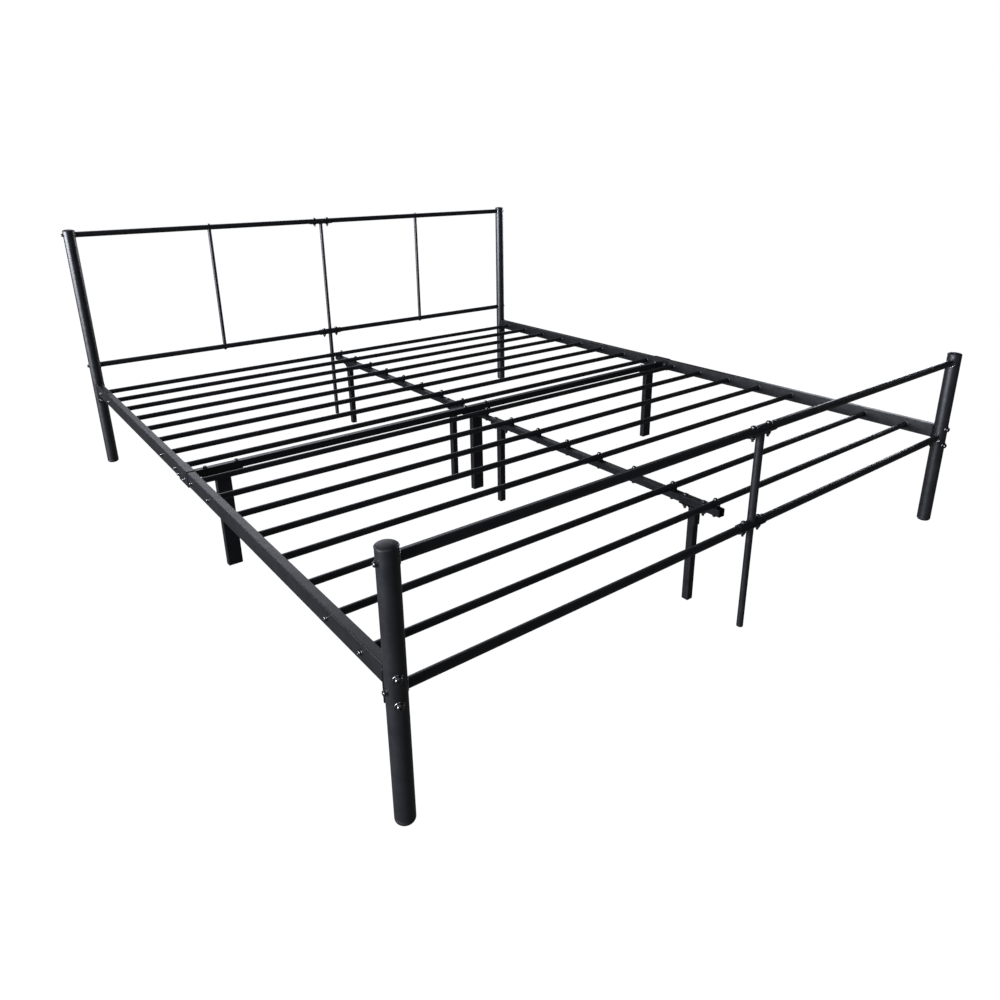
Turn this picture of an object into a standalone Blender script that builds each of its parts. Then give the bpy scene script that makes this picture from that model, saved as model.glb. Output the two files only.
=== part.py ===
"""A bolt-together metal bed frame of steel tube.

X runs across the bed, +Y to the headboard and +Z up. The origin is on the floor under the middle of the bed.
The head and foot boards are two round posts joined by two round rails. Two rectangular side rails join the
boards, sixteen slats cross between them, and a square centre beam carries the slats on four legs. A square
cross-beam on three legs supports the middle of the bed.
"""

from math import cos, pi, sin

import bmesh
import bpy
from mathutils import Matrix, Vector

MM = 0.001
CLEARANCE = 0.3 * MM

# Overall layout
POST_SPACING_X = 1870 * MM
POST_SPACING_Y = 2164 * MM
HEAD_HEIGHT = 858 * MM
FOOT_HEIGHT = 532 * MM

# Posts and their caps
POST_RADIUS = 19 * MM
POST_WALL = 1.5 * MM
POST_SIDES = 32
CAP_SIDES = 24
CAP_DOME = 4 * MM
CAP_LIP = 2 * MM
CAP_LIP_OUT = 0.5 * MM
CAP_PLUG = 14 * MM
FLOOR_CAP_HEIGHT = 12 * MM
FLOOR_CAP_EDGE = 8 * MM

# Board rails, each in two halves that meet inside a sleeve
RAIL_RADIUS = 9.5 * MM
RAIL_WALL = 1.2 * MM
RAIL_SIDES = 20
HEAD_TOP_Z = 839.5 * MM
HEAD_LOWER_Z = 377 * MM
FOOT_TOP_Z = 503 * MM
FOOT_LOWER_Z = 272.5 * MM
SLEEVE_RADIUS = 11.2 * MM
SLEEVE_HALF = 48 * MM
ROD_WALL = 1 * MM
ROD_SIDES = 16
SIDE_ROD_X = 458 * MM
HEAD_ROD_RADIUS = 6.75 * MM
FOOT_ROD_RADIUS = 9.5 * MM
BOARD_LEG_RADIUS = 8 * MM

# Side rails: the head half carries a larger sleeve that takes the end of the foot half
SIDE_RAIL_HEIGHT = 40 * MM
SIDE_RAIL_DEPTH = 20 * MM
SIDE_RAIL_WALL = 1.5 * MM
SIDE_RAIL_Z = 289.3 * MM
SIDE_SLEEVE_FOOT_Y = -28 * MM
SIDE_SLEEVE_HEAD_Y = 53 * MM
SIDE_HEAD_START_Y = 49 * MM
SIDE_FOOT_END_Y = 45 * MM
WELD_RING = 2 * MM
BRACKET_LOW_Z = 240 * MM
BRACKET_HIGH_Z = 311 * MM
BRACKET_HALF_WIDTH = 15 * MM
BRACKET_PLATE = 5 * MM
BRACKET_WRAP = 7 * MM

# Slats in two groups; each one is widened on the left of the centre beam, where its two lengths join
SLAT_RADIUS = 8 * MM
SLAT_WALL = 1.2 * MM
SLAT_SIDES = 12
SLAT_PITCH = 132 * MM
SLATS_PER_GROUP = 8
HEAD_GROUP_Y = 544 * MM
FOOT_GROUP_Y = -520 * MM
SLAT_JOINT_RADIUS = 8.8 * MM
SLAT_JOINT_LENGTH = 64 * MM
SLAT_JOINT_TAPER = 4 * MM

# Centre beam, cross-beam and their legs
BEAM_SIZE = 20 * MM
BEAM_WALL = 1.2 * MM
BEAM_GAP_HALF = 96 * MM
BEAM_HEAD_Y = 1032 * MM
BEAM_FOOT_Y = -1002 * MM
PLATE = 3 * MM
BEAM_LEG_Y = (-920 * MM, -138 * MM, 138 * MM, 920 * MM)
BEAM_PLATE_LENGTH = 84 * MM
CROSS_LEG_X = 848 * MM
CROSS_LEG_WIDTH = 40 * MM
CROSS_PLATE_LENGTH = 112 * MM
SPIGOT_WIDTH = 15 * MM
SPIGOT_HEIGHT = 14 * MM
SPIGOT_REACH = 128 * MM
TUBE_CORNER = 2.2 * MM
CORNER_STEPS = 3

# Heights that follow from the slats
SLAT_Z = SIDE_RAIL_Z
BEAM_TOP_Z = SLAT_Z - SLAT_JOINT_RADIUS - CLEARANCE
BEAM_BOTTOM_Z = BEAM_TOP_Z - BEAM_SIZE
CROSS_BOTTOM_Z = BEAM_TOP_Z + 2 * CLEARANCE

POST_X = POST_SPACING_X / 2
POST_Y = POST_SPACING_Y / 2
SIDES = (("left", -1), ("right", 1))


def clear_scene():
    for old in list(bpy.data.objects):
        bpy.data.objects.remove(old, do_unlink=True)


def make_collection(name):
    collection = bpy.data.collections.new(name)
    bpy.context.scene.collection.children.link(collection)
    return collection


def make_material(name, colour, roughness, metallic):
    material = bpy.data.materials.new(name)
    material.use_nodes = True
    shader = material.node_tree.nodes["Principled BSDF"]
    shader.inputs["Base Color"].default_value = (*colour, 1)
    shader.inputs["Roughness"].default_value = roughness
    shader.inputs["Metallic"].default_value = metallic
    return material


clear_scene()
PARTS = make_collection("metal_bed_frame")
CUTTERS = make_collection("cutters")
POST_COAT = make_material("post_powder_coat", (0.018, 0.018, 0.02), 0.36, 0.2)
RAIL_COAT = make_material("rail_powder_coat", (0.018, 0.018, 0.02), 0.4, 0.2)
BEAM_COAT = make_material("beam_powder_coat", (0.022, 0.022, 0.024), 0.46, 0.2)
SLAT_COAT = make_material("slat_powder_coat", (0.016, 0.016, 0.018), 0.42, 0.2)
CAP_PLASTIC = make_material("cap_plastic", (0.015, 0.015, 0.016), 0.5, 0.0)


def link_part(part, material):
    part.data.materials.append(material)
    PARTS.objects.link(part)
    return part


def link_cutter(cutter):
    cutter.hide_render = True
    cutter.display_type = "WIRE"
    CUTTERS.objects.link(cutter)
    return cutter


def point_along(part, start, direction):
    """Places a part with its local origin at start and its local +Z along direction."""
    part.location = start
    part.rotation_mode = "QUATERNION"
    part.rotation_quaternion = Vector(direction).to_track_quat("Z", "Y")


def turned(name, profile, sides, closed):
    """Spins a profile of (radius, height) points, listed down its outer side, about local Z."""
    mesh = bpy.data.meshes.new(name)
    bm = bmesh.new()
    points = [bm.verts.new((radius, 0, height)) for radius, height in profile]
    following = points[1:] + points[:1] if closed else points[1:]
    for point, next_point in zip(points, following):
        bm.edges.new((point, next_point))
    bm.to_mesh(mesh)
    bm.free()
    part = bpy.data.objects.new(name, mesh)
    spin = part.modifiers.new("spin", "SCREW")
    spin.angle = 2 * pi
    spin.steps = sides
    spin.render_steps = sides
    spin.use_merge_vertices = True
    spin.merge_threshold = 0.01 * MM
    spin.use_smooth_shade = True
    return part


def round_tube(name, start, end, radius, wall, sides):
    """A straight round tube, open at both ends."""
    run = Vector(end) - Vector(start)
    inner = radius - wall
    profile = [(radius, run.length), (radius, 0), (inner, 0), (inner, run.length)]
    part = turned(name, profile, sides, closed=True)
    point_along(part, start, run)
    return part


def round_cutter(name, start, end, radius, sides):
    """A solid round bar between two points, used to shape the end of a neighbour."""
    run = Vector(end) - Vector(start)
    mesh = bpy.data.meshes.new(name)
    bm = bmesh.new()
    bmesh.ops.create_cone(
        bm, cap_ends=True, segments=sides, radius1=radius, radius2=radius, depth=run.length
    )
    bmesh.ops.translate(bm, verts=bm.verts, vec=(0, 0, run.length / 2))
    bm.to_mesh(mesh)
    bm.free()
    cutter = bpy.data.objects.new(name, mesh)
    point_along(cutter, start, run)
    return link_cutter(cutter)


def rounded_rectangle(width, height, corner):
    """Outline points of a rectangle with round corners, anticlockwise."""
    points = []
    for quarter, (sign_x, sign_y) in enumerate(((1, 1), (-1, 1), (-1, -1), (1, -1))):
        for step in range(CORNER_STEPS):
            angle = (quarter + step / (CORNER_STEPS - 1)) * pi / 2
            x = sign_x * (width / 2 - corner) + corner * cos(angle)
            y = sign_y * (height / 2 - corner) + corner * sin(angle)
            points.append((x, y))
    return points


def box_tube(name, start, end, width, height, wall):
    """A rectangular tube, open at both ends; width runs across X, or up for a tube along X."""
    run = Vector(end) - Vector(start)
    outline = bpy.data.curves.new(name, "CURVE")
    outline.dimensions = "2D"
    outline.fill_mode = "BOTH"
    outline.extrude = run.length / 2
    inner_corner = TUBE_CORNER - wall / 2
    rings = (
        rounded_rectangle(width, height, TUBE_CORNER),
        rounded_rectangle(width - 2 * wall, height - 2 * wall, inner_corner),
    )
    for ring in rings:
        spline = outline.splines.new("POLY")
        spline.points.add(len(ring) - 1)
        spline.use_cyclic_u = True
        for point, (x, y) in zip(spline.points, ring):
            point.co = (x, y, 0, 1)
    part = as_mesh(name, outline)
    part.data.transform(Matrix.Translation((0, 0, run.length / 2)))
    point_along(part, start, run)
    return part


def as_mesh(name, curve):
    """Turns a curve into a mesh object with its end faces welded on."""
    source = bpy.data.objects.new(name + "_outline", curve)
    bpy.context.scene.collection.objects.link(source)
    evaluated = source.evaluated_get(bpy.context.evaluated_depsgraph_get())
    mesh = bpy.data.meshes.new_from_object(evaluated)
    bpy.data.objects.remove(source, do_unlink=True)
    bm = bmesh.new()
    bm.from_mesh(mesh)
    bmesh.ops.remove_doubles(bm, verts=bm.verts, dist=0.01 * MM)
    bmesh.ops.recalc_face_normals(bm, faces=bm.faces)
    bm.to_mesh(mesh)
    bm.free()
    return bpy.data.objects.new(name, mesh)


def block(name, low, high):
    """A plain block between two corners, kept with the cutters until it is joined to a part."""
    low, high = Vector(low), Vector(high)
    mesh = bpy.data.meshes.new(name)
    bm = bmesh.new()
    size = Matrix.Diagonal((*(high - low), 1))
    bmesh.ops.create_cube(bm, size=1, matrix=size)
    bm.to_mesh(mesh)
    bm.free()
    solid = bpy.data.objects.new(name, mesh)
    solid.location = (low + high) / 2
    return link_cutter(solid)


def combine(part, other, operation):
    """Adds a Boolean of the part with another object."""
    step = part.modifiers.new(operation.lower(), "BOOLEAN")
    step.solver = "EXACT"
    step.operation = operation
    step.object = other


def post_clearances():
    """One round cutter round each post, for everything that butts against it."""
    cutters = {}
    for end, sign_y in (("foot", -1), ("head", 1)):
        for side, sign_x in SIDES:
            x, y = sign_x * POST_X, sign_y * POST_Y
            name = f"{end}_post_{side}_clearance"
            cutters[end, side] = round_cutter(
                name, (x, y, 0), (x, y, 1), POST_RADIUS + CLEARANCE, POST_SIDES
            )
    return cutters


def add_top_cap(name, x, y, rim_z):
    """A plug with a thin lip and a low dome, pushed into the top of a post."""
    lip = POST_RADIUS + CAP_LIP_OUT
    plug = POST_RADIUS - POST_WALL - CLEARANCE
    lip_low = rim_z + CLEARANCE
    lip_high = lip_low + CAP_LIP
    dome_radius = POST_RADIUS - CAP_LIP_OUT
    dome_steps = 4
    profile = []
    for step in range(dome_steps + 1):
        angle = step / dome_steps * pi / 2
        profile.append((dome_radius * sin(angle), lip_high + CAP_DOME * cos(angle)))
    profile += [(lip, lip_high), (lip, lip_low), (plug, lip_low), (plug, rim_z - CAP_PLUG)]
    profile.append((0, rim_z - CAP_PLUG))
    cap = turned(name, profile, CAP_SIDES, closed=False)
    cap.location = (x, y, 0)
    link_part(cap, CAP_PLASTIC)


def add_floor_cap(name, x, y):
    """A plug with a rounded foot, pushed into the bottom of a post."""
    plug = POST_RADIUS - POST_WALL - CLEARANCE
    shoulder = FLOOR_CAP_HEIGHT - CLEARANCE
    plug_top = FLOOR_CAP_HEIGHT + CAP_PLUG
    edge_steps = 3
    profile = [(0, plug_top), (plug, plug_top), (plug, shoulder), (POST_RADIUS, shoulder)]
    for step in range(edge_steps + 1):
        angle = step / edge_steps * pi / 2
        radius = POST_RADIUS - FLOOR_CAP_EDGE * (1 - cos(angle))
        profile.append((radius, FLOOR_CAP_EDGE * (1 - sin(angle))))
    profile.append((0, 0))
    cap = turned(name, profile, CAP_SIDES, closed=False)
    cap.location = (x, y, 0)
    link_part(cap, CAP_PLASTIC)


def add_posts():
    """The four corner posts with their caps."""
    for end, sign_y, height in (("foot", -1, FOOT_HEIGHT), ("head", 1, HEAD_HEIGHT)):
        rim_z = height - CAP_DOME - CAP_LIP - CLEARANCE
        for side, sign_x in SIDES:
            x, y = sign_x * POST_X, sign_y * POST_Y
            name = f"{end}_post_{side}"
            bottom, top = (x, y, FLOOR_CAP_HEIGHT), (x, y, rim_z)
            post = round_tube(name, bottom, top, POST_RADIUS, POST_WALL, POST_SIDES)
            link_part(post, POST_COAT)
            add_top_cap(name + "_top_cap", x, y, rim_z)
            add_floor_cap(name + "_floor_cap", x, y)


def add_split_rail(prefix, end, y, z, posts):
    """A board rail in two halves and the sleeve that joins them; returns the sleeve's cutter."""
    for side, sign_x in SIDES:
        near, far = (sign_x * CLEARANCE / 2, y, z), (sign_x * POST_X, y, z)
        rail = round_tube(f"{prefix}_rail_{side}", near, far, RAIL_RADIUS, RAIL_WALL, RAIL_SIDES)
        combine(rail, posts[end, side], "DIFFERENCE")
        link_part(rail, RAIL_COAT)
    low, high = (-SLEEVE_HALF, y, z), (SLEEVE_HALF, y, z)
    wall = SLEEVE_RADIUS - RAIL_RADIUS - CLEARANCE
    sleeve = round_tube(f"{prefix}_sleeve", low, high, SLEEVE_RADIUS, wall, RAIL_SIDES)
    link_part(sleeve, RAIL_COAT)
    return round_cutter(
        f"{prefix}_sleeve_clearance", low, high, SLEEVE_RADIUS + CLEARANCE, RAIL_SIDES
    )


def add_rod(name, x, y, low_z, high_z, radius, cutters):
    """An upright tube, coped at its ends by the rails or sleeves that it meets."""
    rod = round_tube(name, (x, y, low_z), (x, y, high_z), radius, ROD_WALL, ROD_SIDES)
    for cutter in cutters:
        combine(rod, cutter, "DIFFERENCE")
    link_part(rod, RAIL_COAT)


def add_board(prefix, end, y, top_z, lower_z, rod_radius, posts):
    """Both rails of a board, its centre rod and its centre leg."""
    top_sleeve = add_split_rail(f"{prefix}_top", end, y, top_z, posts)
    lower_sleeve = add_split_rail(f"{prefix}_lower", end, y, lower_z, posts)
    sleeves = (lower_sleeve, top_sleeve)
    add_rod(f"{prefix}_centre_rod", 0, y, lower_z, top_z, rod_radius, sleeves)
    add_rod(f"{prefix}_centre_leg", 0, y, 0, lower_z, BOARD_LEG_RADIUS, (lower_sleeve,))


def add_side_rods(y):
    """The two upright rods of the headboard, on either side of its centre rod."""
    for side, sign_x in SIDES:
        x = sign_x * SIDE_ROD_X
        cutters = []
        for level, z in (("lower", HEAD_LOWER_Z), ("top", HEAD_TOP_Z)):
            low, high = (x - SLEEVE_HALF, y, z), (x + SLEEVE_HALF, y, z)
            name = f"side_rod_{side}_{level}_clearance"
            cutters.append(round_cutter(name, low, high, RAIL_RADIUS + CLEARANCE, RAIL_SIDES))
        name = f"headboard_side_rod_{side}"
        add_rod(name, x, y, HEAD_LOWER_Z, HEAD_TOP_Z, HEAD_ROD_RADIUS, cutters)


def join_end_bracket(rail, x, sign_y, post):
    """Adds the saddle plate that hugs a post, on the end of a side rail."""
    inner = POST_Y - POST_RADIUS - BRACKET_PLATE
    outer = POST_Y - POST_RADIUS + BRACKET_WRAP
    near, far = sorted((sign_y * inner, sign_y * outer))
    low = (x - BRACKET_HALF_WIDTH, near, BRACKET_LOW_Z)
    high = (x + BRACKET_HALF_WIDTH, far, BRACKET_HIGH_Z)
    plate = block(rail.name + "_saddle", low, high)
    combine(rail, plate, "UNION")
    combine(rail, post, "DIFFERENCE")


def join_rail_sleeve(rail, x):
    """Adds the larger sleeve and the weld ring that holds it on the head half."""
    grow = 2 * (CLEARANCE + SIDE_RAIL_WALL)
    width, height = SIDE_RAIL_DEPTH + grow, SIDE_RAIL_HEIGHT + grow
    start = (x, SIDE_SLEEVE_FOOT_Y, SIDE_RAIL_Z)
    end = (x, SIDE_SLEEVE_HEAD_Y, SIDE_RAIL_Z)
    sleeve = box_tube(rail.name + "_sleeve", start, end, width, height, SIDE_RAIL_WALL)
    combine(rail, link_cutter(sleeve), "UNION")
    overlap = 1 * MM
    start = (x, SIDE_HEAD_START_Y + overlap, SIDE_RAIL_Z)
    end = (x, SIDE_HEAD_START_Y + overlap + WELD_RING, SIDE_RAIL_Z)
    ring = box_tube(
        rail.name + "_weld", start, end,
        SIDE_RAIL_DEPTH + SIDE_RAIL_WALL, SIDE_RAIL_HEIGHT + SIDE_RAIL_WALL, SIDE_RAIL_WALL,
    )
    combine(rail, link_cutter(ring), "UNION")


def add_side_rails(posts):
    """Two rectangular rails, each in a foot half and a head half."""
    reach = POST_Y - POST_RADIUS - BRACKET_PLATE / 2
    for side, sign_x in SIDES:
        x = sign_x * POST_X
        start, end = (x, -reach, SIDE_RAIL_Z), (x, SIDE_FOOT_END_Y, SIDE_RAIL_Z)
        foot = box_tube(
            f"side_rail_{side}_foot", start, end, SIDE_RAIL_DEPTH, SIDE_RAIL_HEIGHT, SIDE_RAIL_WALL
        )
        join_end_bracket(foot, x, -1, posts["foot", side])
        link_part(foot, BEAM_COAT)
        start, end = (x, SIDE_HEAD_START_Y, SIDE_RAIL_Z), (x, reach, SIDE_RAIL_Z)
        head = box_tube(
            f"side_rail_{side}_head", start, end, SIDE_RAIL_DEPTH, SIDE_RAIL_HEIGHT, SIDE_RAIL_WALL
        )
        join_rail_sleeve(head, x)
        join_end_bracket(head, x, 1, posts["head", side])
        link_part(head, BEAM_COAT)


def slat_rows():
    """The Y of every slat, from the foot end to the head end."""
    middle = (SLATS_PER_GROUP - 1) / 2
    rows = []
    for group_y in (FOOT_GROUP_Y, HEAD_GROUP_Y):
        rows += [group_y + (index - middle) * SLAT_PITCH for index in range(SLATS_PER_GROUP)]
    return rows


def add_slats():
    """Thin round tubes between the side rails, each widened where its left length takes the right one."""
    reach = POST_X - SIDE_RAIL_DEPTH / 2 - CLEARANCE
    bore = SLAT_RADIUS - SLAT_WALL
    profile = [
        (SLAT_RADIUS, reach),
        (SLAT_RADIUS, 0),
        (SLAT_JOINT_RADIUS, 0),
        (SLAT_JOINT_RADIUS, -SLAT_JOINT_LENGTH),
        (SLAT_RADIUS, -SLAT_JOINT_LENGTH - SLAT_JOINT_TAPER),
        (SLAT_RADIUS, -reach),
        (bore, -reach),
        (bore, reach),
    ]
    for number, y in enumerate(slat_rows(), start=1):
        slat = turned(f"slat_{number:02d}", profile, SLAT_SIDES, closed=True)
        point_along(slat, (0, y, SLAT_Z), (1, 0, 0))
        link_part(slat, SLAT_COAT)


def join_top_plate(leg, x, y, top_z, length_x, length_y):
    """Adds the flat plate welded on the top of a leg."""
    low = (x - length_x / 2, y - length_y / 2, top_z - PLATE)
    high = (x + length_x / 2, y + length_y / 2, top_z)
    combine(leg, block(leg.name + "_plate", low, high), "UNION")


def add_centre_beam():
    """The two halves of the centre beam; a gap in the middle takes the spigots of the centre leg."""
    z = BEAM_TOP_Z - BEAM_SIZE / 2
    for end, start_y, end_y in (
        ("foot", BEAM_FOOT_Y, -BEAM_GAP_HALF),
        ("head", BEAM_GAP_HALF, BEAM_HEAD_Y),
    ):
        start, finish = (0, start_y, z), (0, end_y, z)
        beam = box_tube(f"centre_beam_{end}", start, finish, BEAM_SIZE, BEAM_SIZE, BEAM_WALL)
        link_part(beam, BEAM_COAT)


def add_centre_beam_legs():
    """Four square legs under the centre beam, each with a plate along the beam."""
    top_z = BEAM_BOTTOM_Z - CLEARANCE
    for number, y in enumerate(BEAM_LEG_Y, start=1):
        tube_top = top_z - PLATE / 2
        name = f"centre_beam_leg_{number}"
        leg = box_tube(name, (0, y, 0), (0, y, tube_top), BEAM_SIZE, BEAM_SIZE, BEAM_WALL)
        join_top_plate(leg, 0, y, top_z, BEAM_SIZE, BEAM_PLATE_LENGTH)
        link_part(leg, BEAM_COAT)


def add_cross_beam():
    """The square cross-beam between the sleeves of the side rails."""
    grow = CLEARANCE + SIDE_RAIL_WALL
    reach = POST_X - SIDE_RAIL_DEPTH / 2 - grow - CLEARANCE
    z = CROSS_BOTTOM_Z + BEAM_SIZE / 2
    beam = box_tube("cross_beam", (-reach, 0, z), (reach, 0, z), BEAM_SIZE, BEAM_SIZE, BEAM_WALL)
    link_part(beam, BEAM_COAT)


def add_cross_beam_legs():
    """Three rectangular legs under the cross-beam; the middle one holds the centre beam's halves."""
    top_z = CROSS_BOTTOM_Z - CLEARANCE
    for place, x in (("left", -CROSS_LEG_X), ("centre", 0), ("right", CROSS_LEG_X)):
        name = f"cross_beam_leg_{place}"
        start, end = (x, 0, 0), (x, 0, top_z - PLATE / 2)
        leg = box_tube(name, start, end, CROSS_LEG_WIDTH, BEAM_SIZE, BEAM_WALL)
        if place == "centre":
            join_spigot(leg)
        join_top_plate(leg, x, 0, top_z, CROSS_PLATE_LENGTH, BEAM_SIZE)
        link_part(leg, BEAM_COAT)


def join_spigot(leg):
    """Adds the narrow bar through the middle leg that the halves of the centre beam slide over."""
    high_z = BEAM_TOP_Z - BEAM_WALL - CLEARANCE
    low = (-SPIGOT_WIDTH / 2, -SPIGOT_REACH, high_z - SPIGOT_HEIGHT)
    high = (SPIGOT_WIDTH / 2, SPIGOT_REACH, high_z)
    combine(leg, block(leg.name + "_spigot", low, high), "UNION")


def build_bed():
    posts = post_clearances()
    add_posts()
    add_board("headboard", "head", POST_Y, HEAD_TOP_Z, HEAD_LOWER_Z, HEAD_ROD_RADIUS, posts)
    add_side_rods(POST_Y)
    add_board("footboard", "foot", -POST_Y, FOOT_TOP_Z, FOOT_LOWER_Z, FOOT_ROD_RADIUS, posts)
    add_side_rails(posts)
    add_slats()
    add_centre_beam()
    add_centre_beam_legs()
    add_cross_beam()
    add_cross_beam_legs()


build_bed()
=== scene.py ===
"""The looks of the metal bed frame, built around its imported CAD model.

Metres, +Z up, X across the bed and +Y towards the headboard. Every tube is redrawn with fine round edges in
the place of its CAD node. The bolts, washers, nuts, weld beads, bushings, collars, saddles and the end
plates of the cross-beam are added on top.
"""

from math import cos, inf, pi, radians, sin, sqrt

import bmesh
import bpy
from mathutils import Matrix, Vector


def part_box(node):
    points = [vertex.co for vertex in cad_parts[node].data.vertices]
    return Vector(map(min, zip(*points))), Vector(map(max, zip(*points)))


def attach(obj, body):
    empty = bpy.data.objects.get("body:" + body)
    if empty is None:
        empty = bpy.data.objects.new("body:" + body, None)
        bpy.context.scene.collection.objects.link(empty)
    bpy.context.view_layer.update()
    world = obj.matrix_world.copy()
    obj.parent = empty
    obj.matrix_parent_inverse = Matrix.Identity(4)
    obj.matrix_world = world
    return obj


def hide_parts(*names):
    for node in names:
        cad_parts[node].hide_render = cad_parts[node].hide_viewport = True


MM = 0.001
SIDES = (("left", -1), ("right", 1))
X, Y, Z = Vector((1, 0, 0)), Vector((0, 1, 0)), Vector((0, 0, 1))

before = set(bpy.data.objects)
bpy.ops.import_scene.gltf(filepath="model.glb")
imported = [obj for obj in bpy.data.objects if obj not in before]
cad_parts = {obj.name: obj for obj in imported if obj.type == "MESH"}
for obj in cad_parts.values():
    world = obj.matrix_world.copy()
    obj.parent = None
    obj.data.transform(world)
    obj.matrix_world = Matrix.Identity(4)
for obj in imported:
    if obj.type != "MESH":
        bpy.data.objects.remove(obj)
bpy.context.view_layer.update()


def middle(node):
    low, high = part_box(node)
    return (low + high) / 2


def half_size(node):
    low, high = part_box(node)
    return (high - low) / 2


# Places and sizes that the CAD model gives
POST_X, POST_Y = middle("foot_post_right").x, middle("head_post_right").y
POST_RADIUS = half_size("foot_post_right").x
POST_FOOT_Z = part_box("foot_post_right")[0].z
RAIL_RADIUS = half_size("footboard_top_rail_left").z
RAIL_Z = {
    ("headboard", "top"): middle("headboard_top_rail_left").z,
    ("headboard", "lower"): middle("headboard_lower_rail_left").z,
    ("footboard", "top"): middle("footboard_top_rail_left").z,
    ("footboard", "lower"): middle("footboard_lower_rail_left").z,
}
BOARD_Y = {"headboard": POST_Y, "footboard": -POST_Y}
SADDLE_RADIUS = half_size("footboard_top_sleeve").z
SADDLE_HALF = half_size("footboard_top_sleeve").x
SLAT_Z = middle("slat_01").z
SLAT_REACH = half_size("slat_01").x
SLAT_RADIUS = 8 * MM
SLAT_JOINT_RADIUS = half_size("slat_01").z
SIDE_RAIL_Z = SLAT_Z
SIDE_RAIL_WIDTH = 20 * MM
SIDE_RAIL_HEIGHT = 40 * MM
BRACKET_LOW_Z, BRACKET_HIGH_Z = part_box("side_rail_left_foot")[0].z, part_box("side_rail_left_foot")[1].z
BEAM_SIZE = 2 * half_size("centre_beam_foot").x
BEAM_TOP_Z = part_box("centre_beam_foot")[1].z
BEAM_BOTTOM_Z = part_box("centre_beam_foot")[0].z
CROSS_Z = middle("cross_beam").z
CROSS_TOP_Z = CROSS_Z + BEAM_SIZE / 2
CROSS_REACH = half_size("cross_beam").x
PLATE = 3 * MM
BRACKET_BOLT_TURN = {"left": 15, "right": 5}  # how far the foot bolts lean to the left, in degrees
BRACKET_BOLT_Z = (301 * MM, 250 * MM)
BOARD_JOINT_BOLT_X = 28 * MM
BEAM_LEG_BOLT_Y = 28 * MM
CROSS_LEG_BOLT_X = 42 * MM
SLEEVE_BOLT_Y = (49 * MM, 1 * MM)
SLEEVE_GROW, SLEEVE_TALL = 3.6 * MM, 5.0 * MM
FOOT_PAD = 2 * MM
FLANGE = 3 * MM
FLANGE_BOLT_Y = 22 * MM


# Shapes: every shell is a row of rings with the same number of points


def frame_at(origin, along, across):
    """A matrix whose local Z runs along, and whose local X runs across."""
    z, x = Vector(along).normalized(), Vector(across).normalized()
    turn = Matrix((x, z.cross(x), z)).transposed().to_4x4()
    return Matrix.Translation(Vector(origin)) @ turn


def skin(bm, rings, loop=False):
    """Joins rings with faces; a loop of rings closes on itself, and an open row gets its two ends closed."""
    rows = [[bm.verts.new(point) for point in ring] for ring in rings]
    following = rows[1:] + rows[:1] if loop else rows[1:]
    for row, next_row in zip(rows, following):
        for i in range(len(row)):
            j = (i + 1) % len(row)
            bm.faces.new((row[i], row[j], next_row[j], next_row[i]))
    if not loop:
        bm.faces.new(rows[0])
        bm.faces.new(rows[-1])


def round_ring(radius, z, count, place):
    return [
        place @ Vector((radius * cos(2 * pi * i / count), radius * sin(2 * pi * i / count), z))
        for i in range(count)
    ]


def hex_ring(apothem, z, count, place, limit=inf):
    """A hexagon's outline, cut to a circle where its corners pass the limit."""
    ring = []
    for i in range(count):
        angle = 2 * pi * i / count
        radius = min(limit, apothem / cos((angle + pi / 6) % (pi / 3) - pi / 6))
        ring.append(place @ Vector((radius * cos(angle), radius * sin(angle), z)))
    return ring


def box_ring(width, height, corner, z, place, steps=5):
    """A rectangle's outline with round corners."""
    ring = []
    for quarter, (sign_x, sign_y) in enumerate(((1, 1), (-1, 1), (-1, -1), (1, -1))):
        for step in range(steps + 1):
            angle = (quarter + step / steps) * pi / 2
            x = sign_x * (width / 2 - corner) + corner * cos(angle)
            y = sign_y * (height / 2 - corner) + corner * sin(angle)
            ring.append(place @ Vector((x, y, z)))
    return ring


def lathe(bm, place, profile, count, loop=False):
    skin(bm, [round_ring(radius, z, count, place) for radius, z in profile], loop)


def arc(centre, radius, start, end, steps, squash=1.0):
    """(radius, z) points on an arc, angles in degrees; squash flattens it along z."""
    points = []
    for step in range(steps + 1):
        angle = radians(start + (end - start) * step / steps)
        points.append((centre[0] + radius * cos(angle), centre[1] + squash * radius * sin(angle)))
    return points


def pipe(bm, place, length, radius, wall, count=32, start_cope=0.0, end_cope=0.0):
    """A round tube whose ends are plain, or coped to a round neighbour that crosses it square to local X."""
    edge = 0.35 * MM

    def ring(size, z, cope, inward):
        points = round_ring(size, z, count, Matrix())
        for point in points:
            point.z += inward * sqrt(max(cope**2 - point.x**2, 0)) if cope else 0
        return [place @ point for point in points]

    def end_rings(z, cope, inward):
        rim = edge if not cope else 0.02 * MM
        outer = [ring(radius, z + inward * rim, cope, inward), ring(radius - rim, z, cope, inward)]
        inner = [
            ring(radius - wall + rim, z, cope, inward),
            ring(radius - wall, z + inward * rim, cope, inward),
        ]
        return outer + inner

    start = end_rings(0, start_cope, 1)
    end = end_rings(length, end_cope, -1)
    skin(bm, start + end[::-1], loop=True)


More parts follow.
